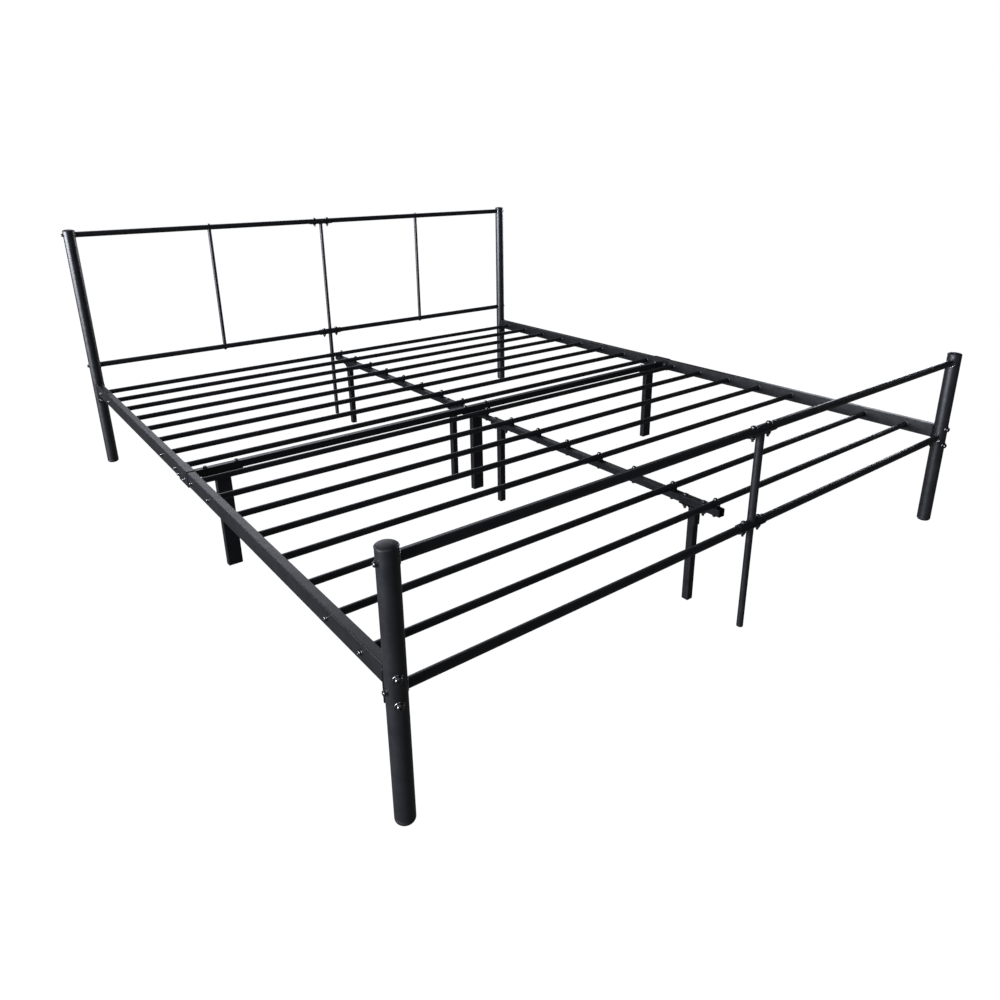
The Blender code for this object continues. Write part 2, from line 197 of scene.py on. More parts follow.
def box_pipe(bm, place, length, width, height, wall, corner=2.2 * MM):
    """A rectangular tube with plain open ends."""
    edge = 0.3 * MM
    rings = []
    for z, inward in ((0, 1), (length, -1)):
        outer = (
            box_ring(width, height, corner, z + inward * edge, place),
            box_ring(width - 2 * edge, height - 2 * edge, corner - edge, z, place),
        )
        hollow_w, hollow_h = width - 2 * wall, height - 2 * wall
        inner = (
            box_ring(hollow_w + edge, hollow_h + edge, corner - wall / 2, z, place),
            box_ring(hollow_w, hollow_h, corner - wall / 2, z + inward * edge, place),
        )
        found = [*outer, *inner]
        rings += found if inward == 1 else found[::-1]
    skin(bm, rings, loop=True)


def slab(bm, place, width, height, thickness, corner, edge=0.5 * MM):
    """A flat plate with round corners and softened edges, standing on local z = 0."""
    rings = []
    for z, inset in ((0, edge), (edge, 0), (thickness - edge, 0), (thickness, edge)):
        rings.append(box_ring(width - 2 * inset, height - 2 * inset, corner - inset, z, place))
    skin(bm, rings)


def bead(bm, points, radius, closed=True):
    """A weld bead with small ripples along a path."""
    count = 8
    rings = []
    total = len(points)
    for index, point in enumerate(points):
        before = points[index - 1] if closed or index else point
        after = points[(index + 1) % total] if closed or index + 1 < total else point
        along = (after - before).normalized()
        across = along.cross(Z) if abs(along.z) < 0.9 else along.cross(X)
        place = frame_at(point, along, across)
        size = radius * (1 + 0.16 * (-1) ** index + 0.07 * sin(index * 2.3))
        rings.append(round_ring(size, 0, count, place))
    skin(bm, rings, loop=closed)


# Materials


def new_material(name):
    material = bpy.data.materials.new(name)
    material.use_nodes = True
    tree = material.node_tree
    return material, tree, tree.nodes["Principled BSDF"]


def noise(tree, vector, scale, detail=3.0, roughness=0.5):
    node = tree.nodes.new("ShaderNodeTexNoise")
    node.inputs["Scale"].default_value = scale
    node.inputs["Detail"].default_value = detail
    node.inputs["Roughness"].default_value = roughness
    tree.links.new(vector, node.inputs["Vector"])
    return node.outputs["Fac"]


def spread(tree, value, low, high, source=(0.35, 0.65)):
    """Maps a noise value to a range."""
    node = tree.nodes.new("ShaderNodeMapRange")
    node.inputs["From Min"].default_value, node.inputs["From Max"].default_value = source
    node.inputs["To Min"].default_value, node.inputs["To Max"].default_value = low, high
    tree.links.new(value, node.inputs["Value"])
    return node.outputs["Result"]


def mixed_colour(tree, factor, dark, light):
    node = tree.nodes.new("ShaderNodeMix")
    node.data_type = "RGBA"
    node.inputs["A"].default_value = (*dark, 1)
    node.inputs["B"].default_value = (*light, 1)
    tree.links.new(factor, node.inputs["Factor"])
    return node.outputs["Result"]


def bumped(tree, shader, height, distance, strength, under=None):
    node = tree.nodes.new("ShaderNodeBump")
    node.inputs["Strength"].default_value = strength
    node.inputs["Distance"].default_value = distance
    tree.links.new(height, node.inputs["Height"])
    if under is not None:
        tree.links.new(under, node.inputs["Normal"])
    tree.links.new(node.outputs["Normal"], shader.inputs["Normal"])
    return node.outputs["Normal"]


def powder_coat(name, dark, light, roughness, peel, grain, specular=0.5):
    """Black powder coat: fine orange peel, a finer grain, and slow changes of tone and gloss."""
    material, tree, shader = new_material(name)
    place = tree.nodes.new("ShaderNodeTexCoord").outputs["Object"]
    tone = noise(tree, place, 26, 4)
    speck = noise(tree, place, 1900, 2)
    slow = spread(tree, tone, 0, 1)
    tree.links.new(mixed_colour(tree, slow, dark, light), shader.inputs["Base Color"])
    gloss = noise(tree, place, 60, 5, 0.6)
    tree.links.new(spread(tree, gloss, roughness[0], roughness[1]), shader.inputs["Roughness"])
    orange_peel = noise(tree, place, 420, 2)
    first = bumped(tree, shader, orange_peel, 0.05 * MM, peel)
    bumped(tree, shader, speck, 0.02 * MM, grain, first)
    shader.inputs["Specular IOR Level"].default_value = specular
    return material


def moulded_plastic(name, dark, light, roughness):
    """Black moulded plastic with a fine matt texture."""
    material, tree, shader = new_material(name)
    place = tree.nodes.new("ShaderNodeTexCoord").outputs["Object"]
    tone = spread(tree, noise(tree, place, 90, 3), 0, 1)
    tree.links.new(mixed_colour(tree, tone, dark, light), shader.inputs["Base Color"])
    gloss = noise(tree, place, 300, 4, 0.6)
    tree.links.new(spread(tree, gloss, roughness[0], roughness[1]), shader.inputs["Roughness"])
    bumped(tree, shader, noise(tree, place, 1500, 3), 0.03 * MM, 0.35)
    return material


def dark_steel(name, dark, light, roughness, marks=0.25):
    """Fastener steel with a fine grain and slightly lighter worn patches."""
    material, tree, shader = new_material(name)
    place = tree.nodes.new("ShaderNodeTexCoord").outputs["Object"]
    wear = spread(tree, noise(tree, place, 240, 5, 0.65), 0, 1, (0.42, 0.7))
    tree.links.new(mixed_colour(tree, wear, dark, light), shader.inputs["Base Color"])
    gloss = noise(tree, place, 500, 3)
    tree.links.new(spread(tree, gloss, roughness[0], roughness[1]), shader.inputs["Roughness"])
    bumped(tree, shader, noise(tree, place, 2600, 2), 0.02 * MM, marks)
    shader.inputs["Metallic"].default_value = 1.0
    return material


POST_COAT = powder_coat(
    "post_powder_coat", (0.0085, 0.0092, 0.0105), (0.013, 0.0138, 0.0156), (0.29, 0.36), 0.1, 0.05, 0.62
)
BOARD_COAT = powder_coat(
    "board_powder_coat", (0.008, 0.0086, 0.01), (0.012, 0.0128, 0.0145), (0.3, 0.38), 0.1, 0.05
)
# The same black powder coat as the other coats, but with a darker base colour. This is painted shade on the
# side rails, beams, legs, collars and end plates.
BEAM_COAT = powder_coat(
    "beam_powder_coat", (0.0045, 0.005, 0.0058), (0.0075, 0.008, 0.0092), (0.33, 0.4), 0.08, 0.06, 0.4
)
SLAT_COAT = powder_coat(
    "slat_powder_coat", (0.007, 0.0076, 0.009), (0.011, 0.0118, 0.0135), (0.3, 0.4), 0.1, 0.05
)
CAP_PLASTIC = moulded_plastic("cap_moulded_plastic", (0.01, 0.01, 0.011), (0.016, 0.016, 0.018), (0.38, 0.5))
BOLT_STEEL = dark_steel("bolt_steel", (0.14, 0.14, 0.145), (0.2, 0.2, 0.205), (0.24, 0.3), 0.12)
BUSHING_STEEL = dark_steel("bushing_steel", (0.34, 0.34, 0.35), (0.42, 0.42, 0.43), (0.26, 0.32), 0.08)


def add_piece(name, bm, material, nodes=()):
    """Turns the shells into one smooth-shaded piece that rides on the frame."""
    bmesh.ops.recalc_face_normals(bm, faces=bm.faces)
    mesh = bpy.data.meshes.new(name)
    bm.to_mesh(mesh)
    bm.free()
    mesh.shade_smooth()
    mesh.set_sharp_from_angle(angle=radians(38))
    mesh.materials.append(material)
    piece = bpy.data.objects.new(name, mesh)
    bpy.context.scene.collection.objects.link(piece)
    normals = piece.modifiers.new("weighted_normals", "WEIGHTED_NORMAL")
    normals.keep_sharp = True
    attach(piece, "root")
    if nodes:
        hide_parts(*nodes)
    return piece


# Fasteners: local z = 0 is the face that a bolt clamps, and +Z points out of it


def washer(bm, place, radius, thickness, hole=2 * MM):
    edge = 0.3 * MM
    profile = [
        (hole, 0),
        (radius - edge, 0),
        (radius, edge),
        (radius, thickness - edge),
        (radius - edge, thickness),
        (hole, thickness),
    ]
    lathe(bm, place, profile, 36, loop=True)


def socket_head(bm, place, radius, height, base):
    """A low head with a rounded rim, a flat face and a hexagon socket, its underside at local z = base."""
    count = 36
    apothem = 0.36 * radius
    top = base + height
    rim = 0.45 * height
    rings = [
        round_ring(radius - 0.25 * MM, base, count, place),
        round_ring(radius, base + 0.25 * MM, count, place),
    ]
    for step in range(7):
        angle = step / 6 * pi / 2
        size = radius * (0.58 + 0.42 * cos(angle))
        rings.append(round_ring(size, base + rim + (height - rim) * sin(angle), count, place))
    rings.append(round_ring(apothem * 1.3, top + 0.05 * MM, count, place))
    rings.append(hex_ring(apothem, top - 0.2 * MM, count, place))
    rings.append(hex_ring(apothem, top - 0.62 * height, count, place))
    rings.append(hex_ring(apothem * 0.4, top - 0.75 * height, count, place))
    skin(bm, rings)


def shank(bm, place, radius, start, length):
    """A plain shank down from local z = start, with a rounded point."""
    end = start - length
    profile = [(radius, start), (radius, end + radius * 0.5)]
    profile += arc((radius * 0.5, end + radius * 0.5), radius * 0.5, 0, -80, 4)
    lathe(bm, place, profile, 18)


def nut(bm, place, apothem, height, top):
    """A hexagon nut with chamfered corners, its clamping face at local z = top."""
    count = 36
    limit = apothem * 1.13
    low = top - height
    chamfer = 0.16 * height
    rings = [
        hex_ring(apothem, top, count, place, apothem * 1.02),
        hex_ring(apothem, top - chamfer, count, place, limit),
        hex_ring(apothem, low + chamfer, count, place, limit),
        hex_ring(apothem, low, count, place, apothem * 1.02),
    ]
    skin(bm, rings)


def bolt(bm, place, head=6.0, height=3.6, ring=7.5, grip=None, thread=3.0, tail=4.0):
    """A washer and a socket head on the clamped face, and a nut where the shank comes out; sizes in mm."""
    thickness = 1.2 * MM
    washer(bm, place, ring * MM, thickness)
    socket_head(bm, place, head * MM, height * MM, thickness)
    if grip is None:
        return
    nut_height = 1.5 * thread * MM
    washer(bm, place @ Matrix.Translation((0, 0, -grip * MM - thickness)), ring * MM, thickness)
    nut(bm, place, 1.75 * thread * MM, nut_height, -grip * MM - thickness)
    shank(bm, place, thread * MM, 0, grip * MM + nut_height + tail * MM)


# Posts and caps


def add_posts():
    for end, sign_y in (("foot", -1), ("head", 1)):
        for side, sign_x in SIDES:
            name = f"{end}_post_{side}"
            low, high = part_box(name)
            x, y = sign_x * POST_X, sign_y * POST_Y
            bm = bmesh.new()
            pipe(bm, frame_at((x, y, low.z), Z, X), high.z - low.z, POST_RADIUS, 1.5 * MM, 72)
            add_piece(name + "_tube", bm, POST_COAT, [name])
            add_top_cap(name, x, y, high.z)
            add_floor_cap(name, x, y, low.z)


def add_top_cap(post, x, y, rim_z):
    """A plug with a thin lip and a low dome that flattens towards its middle."""
    low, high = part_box(post + "_top_cap")
    lip = (high.x - low.x) / 2
    lip_low, crown = rim_z + 0.1 * MM, high.z
    lip_high = lip_low + 2.1 * MM
    plug = POST_RADIUS - 1.8 * MM
    profile = [(plug - 1 * MM, low.z), (plug, low.z + 1 * MM), (plug, lip_low), (lip - 0.3 * MM, lip_low)]
    profile += arc((lip - 0.4 * MM, lip_low + 0.5 * MM), 0.6 * MM, -80, 60, 6)
    profile.append((lip - 0.35 * MM, lip_low + 1.1 * MM))
    profile += arc((lip - 1.0 * MM, lip_high - 0.7 * MM), 0.7 * MM, 0, 62, 3)
    dome = lip - 1.3 * MM
    for step in range(9):
        angle = radians(6 + step * 10.2)
        profile.append((dome * cos(angle), lip_high + (crown - lip_high) * sin(angle)))
    bm = bmesh.new()
    lathe(bm, frame_at((x, y, 0), Z, X), profile, 72)
    add_piece(post + "_dome_cap", bm, CAP_PLASTIC, [post + "_top_cap"])


def add_floor_cap(post, x, y, tube_z):
    """A plug whose foot curves in to a small flat face on the floor."""
    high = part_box(post + "_floor_cap")[1]
    edge = 8 * MM
    plug = POST_RADIUS - 1.8 * MM
    profile = [(plug - 1 * MM, high.z), (plug, high.z - 1 * MM), (plug, tube_z - 0.1 * MM)]
    profile += arc((POST_RADIUS - 0.4 * MM, tube_z - 0.5 * MM), 0.4 * MM, 90, 0, 3)
    profile += arc((POST_RADIUS - edge, edge), edge, 0, -90, 10)
    profile.append((POST_RADIUS * 0.4, 0))
    bm = bmesh.new()
    lathe(bm, frame_at((x, y, 0), Z, X), profile, 72)
    add_piece(post + "_rounded_foot", bm, CAP_PLASTIC, [post + "_floor_cap"])


# Head and foot boards


def add_board_rails():
    for board, y in BOARD_Y.items():
        for level in ("top", "lower"):
            z = RAIL_Z[board, level]
            for side, sign_x in SIDES:
                node = f"{board}_{level}_rail_{side}"
                start = frame_at((sign_x * 0.15 * MM, y, z), sign_x * X, Y)
                bm = bmesh.new()
                reach = POST_X - 0.15 * MM
                pipe(bm, start, reach, RAIL_RADIUS, 1.2 * MM, 40, end_cope=POST_RADIUS - 0.4 * MM)
                add_piece(node.replace("rail", "tube"), bm, BOARD_COAT, [node])
            add_saddles(board, level, y, z)


def cradle(bm, y, z, toward, half_angle):
    """A half pipe round a board rail, open on the side away from toward, with round corners."""
    inner, outer = RAIL_RADIUS + 0.15 * MM, SADDLE_RADIUS + 0.3 * MM
    corner = 9 * MM
    stations = []
    for sign in (-1, 1):
        row = [sign * (SADDLE_HALF - corner * (1 - cos(radians(a)))) for a in range(0, 91, 15)]
        stations += row if sign == -1 else row[::-1]
    rings = []
    arc_steps = 14
    for x in stations:
        past = max(abs(x) - (SADDLE_HALF - corner), 0)
        inset = corner - sqrt(max(corner**2 - past**2, 0))
        half = radians(half_angle) - inset / outer
        ring = []
        for radius, order in ((outer, 1), (inner, -1)):
            steps = range(arc_steps + 1)[::order]
            for step in steps:
                angle = toward + half * (2 * step / arc_steps - 1)
                ring.append(Vector((x, y + radius * cos(angle), z + radius * sin(angle))))
        rings.append(ring)
    skin(bm, rings)


def add_saddles(board, level, y, z):
    """The pressed saddles that join the two halves of a board rail to its upright rod and leg."""
    bm = bmesh.new()
    if level == "top":
        cradle(bm, y, z, -pi / 2, 96)
    else:
        cradle(bm, y, z, -pi / 2, 82)
        cradle(bm, y, z, pi / 2, 82)
    node = f"{board}_{level}_sleeve"
    add_piece(f"{board}_{level}_saddle", bm, BOARD_COAT, [node])


def add_rods():
    for board, y in BOARD_Y.items():
        low, high = RAIL_Z[board, "lower"], RAIL_Z[board, "top"]
        rod_radius = half_size(f"{board}_centre_rod").x
        cope = SADDLE_RADIUS
        bm = bmesh.new()
        pipe(bm, frame_at((0, y, low), Z, Y), high - low, rod_radius, 1 * MM, 36, cope, cope)
        for z, sign in ((low, 1), (high, -1)):
            bead(bm, coped_circle(0, y, z, rod_radius, cope, sign), 0.9 * MM)
        add_piece(f"{board}_centre_tube", bm, BOARD_COAT, [f"{board}_centre_rod"])
        add_board_leg(board, y, low)
    for side, sign_x in SIDES:
        x, y = sign_x * middle("headboard_side_rod_right").x, POST_Y
        low, high = RAIL_Z["headboard", "lower"], RAIL_Z["headboard", "top"]
        radius = half_size("headboard_side_rod_right").x
        cope = RAIL_RADIUS - 0.2 * MM
        bm = bmesh.new()
        pipe(bm, frame_at((x, y, low), Z, Y), high - low, radius, 1 * MM, 32, cope, cope)
        name = f"headboard_side_tube_{side}"
        add_piece(name, bm, BOARD_COAT, [f"headboard_side_rod_{side}"])


def coped_circle(x, y, z, radius, cope, sign, count=40):
    """Points round an upright tube where it meets a rail along X."""
    points = []
    for i in range(count):
        angle = 2 * pi * i / count
        across = radius * sin(angle)
        height = sqrt(max(cope**2 - across**2, 0))
        points.append(Vector((x + radius * cos(angle), y + across, z + sign * height)))
    return points


def add_board_leg(board, y, rail_z):
    """The thin leg under the middle of a board, with a plastic foot."""
    radius = half_size(f"{board}_centre_leg").x
    bm = bmesh.new()
    leg = frame_at((0, y, FOOT_PAD), Z, Y)
    pipe(bm, leg, rail_z - FOOT_PAD, radius, 1 * MM, 36, end_cope=SADDLE_RADIUS)
    bead(bm, coped_circle(0, y, rail_z, radius, SADDLE_RADIUS, -1), 0.9 * MM)
    add_piece(f"{board}_leg_tube", bm, BOARD_COAT, [f"{board}_centre_leg"])
    profile = [(radius - 1.2 * MM, 18 * MM), (radius - 1.2 * MM, FOOT_PAD), (radius, FOOT_PAD)]
    profile += arc((radius - 1 * MM, 1 * MM), 1 * MM, 0, -90, 4)
    bm = bmesh.new()
    lathe(bm, frame_at((0, y, 0), Z, X), profile, 36)
    add_piece(f"{board}_leg_foot", bm, CAP_PLASTIC)


def add_hole_rims():
    """The bright flared bushings in the posts where the board rails go in."""
    profile = ((10.3, -0.6), (10.6, 0.2), (11.6, 1.0), (12.2, 1.1), (12.7, 0.7), (12.9, -0.6))
    bm = bmesh.new()
    for (board, _), z in RAIL_Z.items():
        y = BOARD_Y[board]
        for _, sign_x in SIDES:
            rings = []
            for radius, lift in profile:
                ring = []
                for i in range(48):
                    angle = 2 * pi * i / 48
                    dy, dz = radius * MM * cos(angle), radius * MM * sin(angle)
                    inward = sqrt((POST_RADIUS + lift * MM) ** 2 - dy**2)
                    ring.append(Vector((sign_x * (POST_X - inward), y + dy, z + dz)))
                rings.append(ring)
            skin(bm, rings, loop=True)
    add_piece("post_bushings", bm, BUSHING_STEEL)


# Side rails


def rail_rings(x, stations, wall):
    """Rings of a hollow rail along Y, from (y, width, height) stations; extra height hangs lower."""
    outer, inner = [], []
    for y, width, height in stations:
        drop = max(height - SIDE_RAIL_HEIGHT, 0) * 0.14
        place = frame_at((x, y, SIDE_RAIL_Z - drop), Y, X)
        outer.append(box_ring(width, height, 2.4 * MM, 0, place))
        inner.append(box_ring(width - 2 * wall, height - 2 * wall, 1.6 * MM, 0, place))
    return outer + inner[::-1]


def bent_bracket(bm, x, sign_y):
    """The end plate of a side rail, curved round the post, with round corners."""
    inner, outer = POST_RADIUS + 0.1 * MM, POST_RADIUS + 2.8 * MM
    half_width, corner = 19 * MM, 8 * MM
    columns = 24
    rings = []
    for column in range(columns + 1):
        u = half_width * (2 * column / columns - 1)
        past = max(abs(u) - (half_width - corner), 0)
        inset = corner - sqrt(max(corner**2 - past**2, 0))
        low, high = BRACKET_LOW_Z + inset, BRACKET_HIGH_Z - inset
        angle = u / inner
        ring = []
        soft = 0.4 * MM
        for radius, z in (
            (inner, low), (outer - soft, low), (outer, low + soft),
            (outer, high - soft), (outer - soft, high), (inner, high),
        ):
            dx, dy = radius * sin(angle), radius * cos(angle)
            ring.append(Vector((x + dx, sign_y * (POST_Y - dy), z)))
        rings.append(ring)
    skin(bm, rings)


def rail_weld(bm, x, sign_y):
    """The bead that joins a side rail to its end bracket."""
    place = frame_at((x, 0, SIDE_RAIL_Z), Y, X)
    outline = box_ring(SIDE_RAIL_WIDTH + 0.6 * MM, SIDE_RAIL_HEIGHT - 1 * MM, 2.4 * MM, 0, place, 4)
    path = resample(outline, 2.2 * MM)
    outer = POST_RADIUS + 3.0 * MM
    for point in path:
        point.y = sign_y * (POST_Y - sqrt(outer**2 - (point.x - x) ** 2))
    bead(bm, path, 1.3 * MM)


def resample(outline, step):
    """Points at even steps round a closed outline."""
    path = []
    for index, point in enumerate(outline):
        following = outline[(index + 1) % len(outline)]
        pieces = max(1, round((following - point).length / step))
        path += [point.lerp(following, k / pieces) for k in range(pieces)]
    return path


def add_side_rails():
    wall = 1.5 * MM
    width, height = SIDE_RAIL_WIDTH, SIDE_RAIL_HEIGHT
    reach = POST_Y - POST_RADIUS - 1.2 * MM
    sleeve_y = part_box("side_rail_left_head")[0].y
    inner_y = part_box("side_rail_left_foot")[1].y
    edge = 0.35 * MM
    grow, tall = SLEEVE_GROW, SLEEVE_TALL
    for side, sign_x in SIDES:
        x = sign_x * POST_X
        stations = [
            (inner_y, width - 2 * edge, height - 2 * edge),
            (inner_y - edge, width, height),
            (-reach, width, height),
        ]
        bm = bmesh.new()
        skin(bm, rail_rings(x, stations, wall), loop=True)
        bent_bracket(bm, x, -1)
        rail_weld(bm, x, -1)
        node = f"side_rail_{side}_foot"
        add_piece(node + "_half", bm, BEAM_COAT, [node])
        stations = [
            (sleeve_y, width + grow - 2 * edge, height + tall - 2 * edge),
            (sleeve_y + edge, width + grow, height + tall),
        ]
        flare_start, flare_length = 48 * MM, 6 * MM
        for step in range(7):
            ease = (1 + cos(pi * step / 6)) / 2
            y = flare_start + flare_length * step / 6
            stations.append((y, width + grow * ease, height + tall * ease))
        stations.append((reach, width, height))
        bm = bmesh.new()
        skin(bm, rail_rings(x, stations, wall), loop=True)
        bent_bracket(bm, x, 1)
        rail_weld(bm, x, 1)
        node = f"side_rail_{side}_head"
        add_piece(node + "_half", bm, BEAM_COAT, [node])


# Slats


def slat_nodes():
    return sorted(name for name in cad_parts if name.startswith("slat_"))


def add_slats():
    """Each slat has a swaged joint on the left of the centre beam and slightly flared ends."""
    bore = SLAT_RADIUS - 1.2 * MM
    flare = [(9.0, 0.0), (9.1, 0.5), (8.7, 1.6), (8.2, 3.0), (8.0, 4.5)]
    profile = [(bore, SLAT_REACH)]
    profile += [(radius * MM, SLAT_REACH - back * MM) for radius, back in flare]
    joint = SLAT_JOINT_RADIUS
    profile += [(SLAT_RADIUS, 0.2 * MM), (joint - 0.4 * MM, 0), (joint, -0.4 * MM), (joint, -54 * MM)]
    for step in range(1, 7):
        ease = (1 + cos(pi * step / 6)) / 2
        profile.append((SLAT_RADIUS + (joint - SLAT_RADIUS) * ease, -54 * MM - step * 2 * MM))
    profile += [(radius * MM, -SLAT_REACH + back * MM) for radius, back in flare[::-1]]
    profile.append((bore, -SLAT_REACH))
    for node in slat_nodes():
        bm = bmesh.new()
        lathe(bm, frame_at((0, middle(node).y, SLAT_Z), X, Y), profile, 32, loop=True)
        add_piece(node + "_tube", bm, SLAT_COAT, [node])


def add_slat_collars():
    """A rolled collar round each slat where it goes into a side rail."""
    profile = [(7.6, 0), (12.0, 0), (12.1, 0.5), (11.6, 1.2), (10.4, 1.7), (9.2, 1.6), (8.4, 1.1), (7.6, 0.9)]
    profile = [(radius * MM, z * MM) for radius, z in profile]
    for side, sign_x in SIDES:
        bm = bmesh.new()
        face = sign_x * (POST_X - SIDE_RAIL_WIDTH / 2)
        for node in slat_nodes():
            place = frame_at((face, middle(node).y, SLAT_Z), -sign_x * X, Y)
            lathe(bm, place, profile, 36, loop=True)
        add_piece(f"slat_collars_{side}", bm, BEAM_COAT)


def add_slat_saddles():
    """A spacer under each slat that seats it on the centre beam."""
    bm = bmesh.new()
    base, height = BEAM_TOP_Z + 0.05 * MM, 5.0 * MM
    half_width, seat = 8.6 * MM, SLAT_JOINT_RADIUS + 0.1 * MM
    for node in slat_nodes():
        y = middle(node).y
        rings = []
        for x, inset in ((-7, 0.6), (-6.4, 0), (7.4, 0), (8, 0.6)):
            ring = [Vector((x * MM, y + sign * (half_width - inset * MM), base)) for sign in (-1, 1)]
            top = base + height - inset * MM
            ring.append(Vector((x * MM, y + half_width - inset * MM, top)))
            start = sqrt(seat**2 - (SLAT_Z - top) ** 2)
            steps = 12
            for step in range(steps + 1):
                across = start * (1 - 2 * step / steps)
                z = max(SLAT_Z - sqrt(seat**2 - across**2), base + 0.15 * MM)
                ring.append(Vector((x * MM, y + across, z)))
            ring.append(Vector((x * MM, y - half_width + inset * MM, top)))
            rings.append(ring)
        skin(bm, rings)
    add_piece("slat_saddles", bm, CAP_PLASTIC)


# Centre beam, cross-beam and legs


def add_beams():
    size = BEAM_SIZE
    for end in ("foot", "head"):
        node = f"centre_beam_{end}"
        low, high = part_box(node)
        bm = bmesh.new()
        start = frame_at((0, low.y, (low.z + high.z) / 2), Y, X)
        box_pipe(bm, start, high.y - low.y, size, size, 1.2 * MM)
        add_piece(node + "_tube", bm, BEAM_COAT, [node])
    reach = CROSS_REACH - FLANGE
    bm = bmesh.new()
    box_pipe(bm, frame_at((-reach, 0, CROSS_Z), X, Y), 2 * reach, size, size, 1.2 * MM)
    add_piece("cross_beam_tube", bm, BEAM_COAT, ["cross_beam"])
    bm = bmesh.new()
    for _, sign_x in SIDES:
        flange = frame_at((sign_x * reach, 0, CROSS_Z), sign_x * X, Y)
        slab(bm, flange, 2 * FLANGE_BOLT_Y + 18 * MM, 24 * MM, FLANGE, 5 * MM)
        weld = box_ring(size + 0.6 * MM, size + 0.6 * MM, 2 * MM, 0, flange, 4)
        bead(bm, resample(weld, 2 * MM), 1.1 * MM)
    add_piece("cross_beam_end_plates", bm, BEAM_COAT)


def add_leg(name, node, x, y, width, depth, plate_x, plate_y, top_z, extra=None):
    """A rectangular leg with a welded top plate and a plastic foot."""
    bm = bmesh.new()
    tube_top = top_z - PLATE
    box_pipe(bm, frame_at((x, y, FOOT_PAD), Z, X), tube_top - FOOT_PAD, width, depth, 1.2 * MM)
    slab(bm, frame_at((x, y, tube_top), Z, X), plate_x, plate_y, PLATE, 4 * MM)
    weld = box_ring(width + 0.8 * MM, depth + 0.8 * MM, 2 * MM, 0, frame_at((x, y, tube_top), Z, X), 4)
    bead(bm, resample(weld, 2.0 * MM), 1.2 * MM)
    if extra:
        extra(bm)
    add_piece(name, bm, BEAM_COAT, [node])
    bm = bmesh.new()
    pad = frame_at((x, y, 0), Z, X)
    rings = [
        box_ring(width - 3 * MM, depth - 3 * MM, 1 * MM, 16 * MM, pad),
        box_ring(width - 2.6 * MM, depth - 2.6 * MM, 1 * MM, FOOT_PAD, pad),
        box_ring(width, depth, 2.2 * MM, FOOT_PAD, pad),
        box_ring(width, depth, 2.2 * MM, 0.8 * MM, pad),
        box_ring(width - 1.6 * MM, depth - 1.6 * MM, 1.6 * MM, 0, pad),
    ]
    skin(bm, rings)
    add_piece(name + "_foot", bm, CAP_PLASTIC)


def front_tongue(bm, y):
    """The round-topped tongue on the foot side of a centre-beam leg."""
    top, low, half, thickness = BEAM_BOTTOM_Z - 4.5 * MM, 212 * MM, 8.4 * MM, 1.5 * MM
    rings = []
    for depth, inset in ((0, 0), (thickness - 0.4 * MM, 0), (thickness, 0.4)):
        size = half - inset * MM
        front = y - BEAM_SIZE / 2 - depth
        ring = [Vector((-size, front, low + inset * MM)), Vector((size, front, low + inset * MM))]
        for step in range(13):
            angle = pi * step / 12
            ring.append(Vector((size * cos(angle), front, top - half + size * sin(angle))))
        rings.append(ring)
    skin(bm, rings)
    front = y - BEAM_SIZE / 2 - thickness
    arch = [Vector((-half, front, low)), Vector((-half, front, (low + top) / 2))]
    arch += [
        Vector((-half * cos(pi * step / 14), front, top - half + half * sin(pi * step / 14)))
        for step in range(15)
    ]
    arch += [Vector((half, front, (low + top) / 2)), Vector((half, front, low))]
    rope(bm, arch, 1.6 * MM)


def rope(bm, points, radius):
    """A smooth round edge along an open path in a plane across Y."""
    rings = []
    for index, point in enumerate(points):
        before, after = points[max(index - 1, 0)], points[min(index + 1, len(points) - 1)]
        rings.append(round_ring(radius, 0, 10, frame_at(point, after - before, Y)))
    skin(bm, rings)


def add_legs():
    size = BEAM_SIZE
    for number in range(1, 5):
        node = f"centre_beam_leg_{number}"
        low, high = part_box(node)
        y = (low.y + high.y) / 2
        add_leg(
            f"centre_leg_{number}", node, 0, y, size, size, size, high.y - low.y, high.z,
            lambda bm, y=y: front_tongue(bm, y),
        )
    for place in ("left", "centre", "right"):
        node = f"cross_beam_leg_{place}"
        low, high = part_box(node)
        x = (low.x + high.x) / 2
        extra = spigot if place == "centre" else None
        add_leg(f"cross_leg_{place}", node, x, 0, 2 * size, size, high.x - low.x, size, high.z, extra)


def spigot(bm):
    """The narrow bar through the middle leg that the halves of the centre beam slide over."""
    low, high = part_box("cross_beam_leg_centre")
    width, height = 15 * MM, 14 * MM
    z = BEAM_TOP_Z - 1.5 * MM - height / 2
    start = frame_at((0, low.y, z), Y, X)
    box_pipe(bm, start, high.y - low.y, width, height, 1.2 * MM, 1.8 * MM)


# Bolts


def curved_washer(bm, place, radius, hole=3 * MM, thickness=1.6 * MM):
    """A washer bent to a post; the post runs along the place's local Y, with its axis below local z = 0."""
    rings = []
    for size, lift in (
        (hole, 0), (radius - 0.1 * MM, 0), (radius, 0.3 * MM), (radius, thickness - 0.5 * MM),
        (radius - 0.5 * MM, thickness), (hole, thickness),
    ):
        ring = []
        for point in round_ring(size, 0, 48, Matrix()):
            bend = sqrt((POST_RADIUS + lift) ** 2 - point.x**2) - POST_RADIUS
            ring.append(place @ Vector((point.x, point.y, bend)))
        rings.append(ring)
    skin(bm, rings, loop=True)


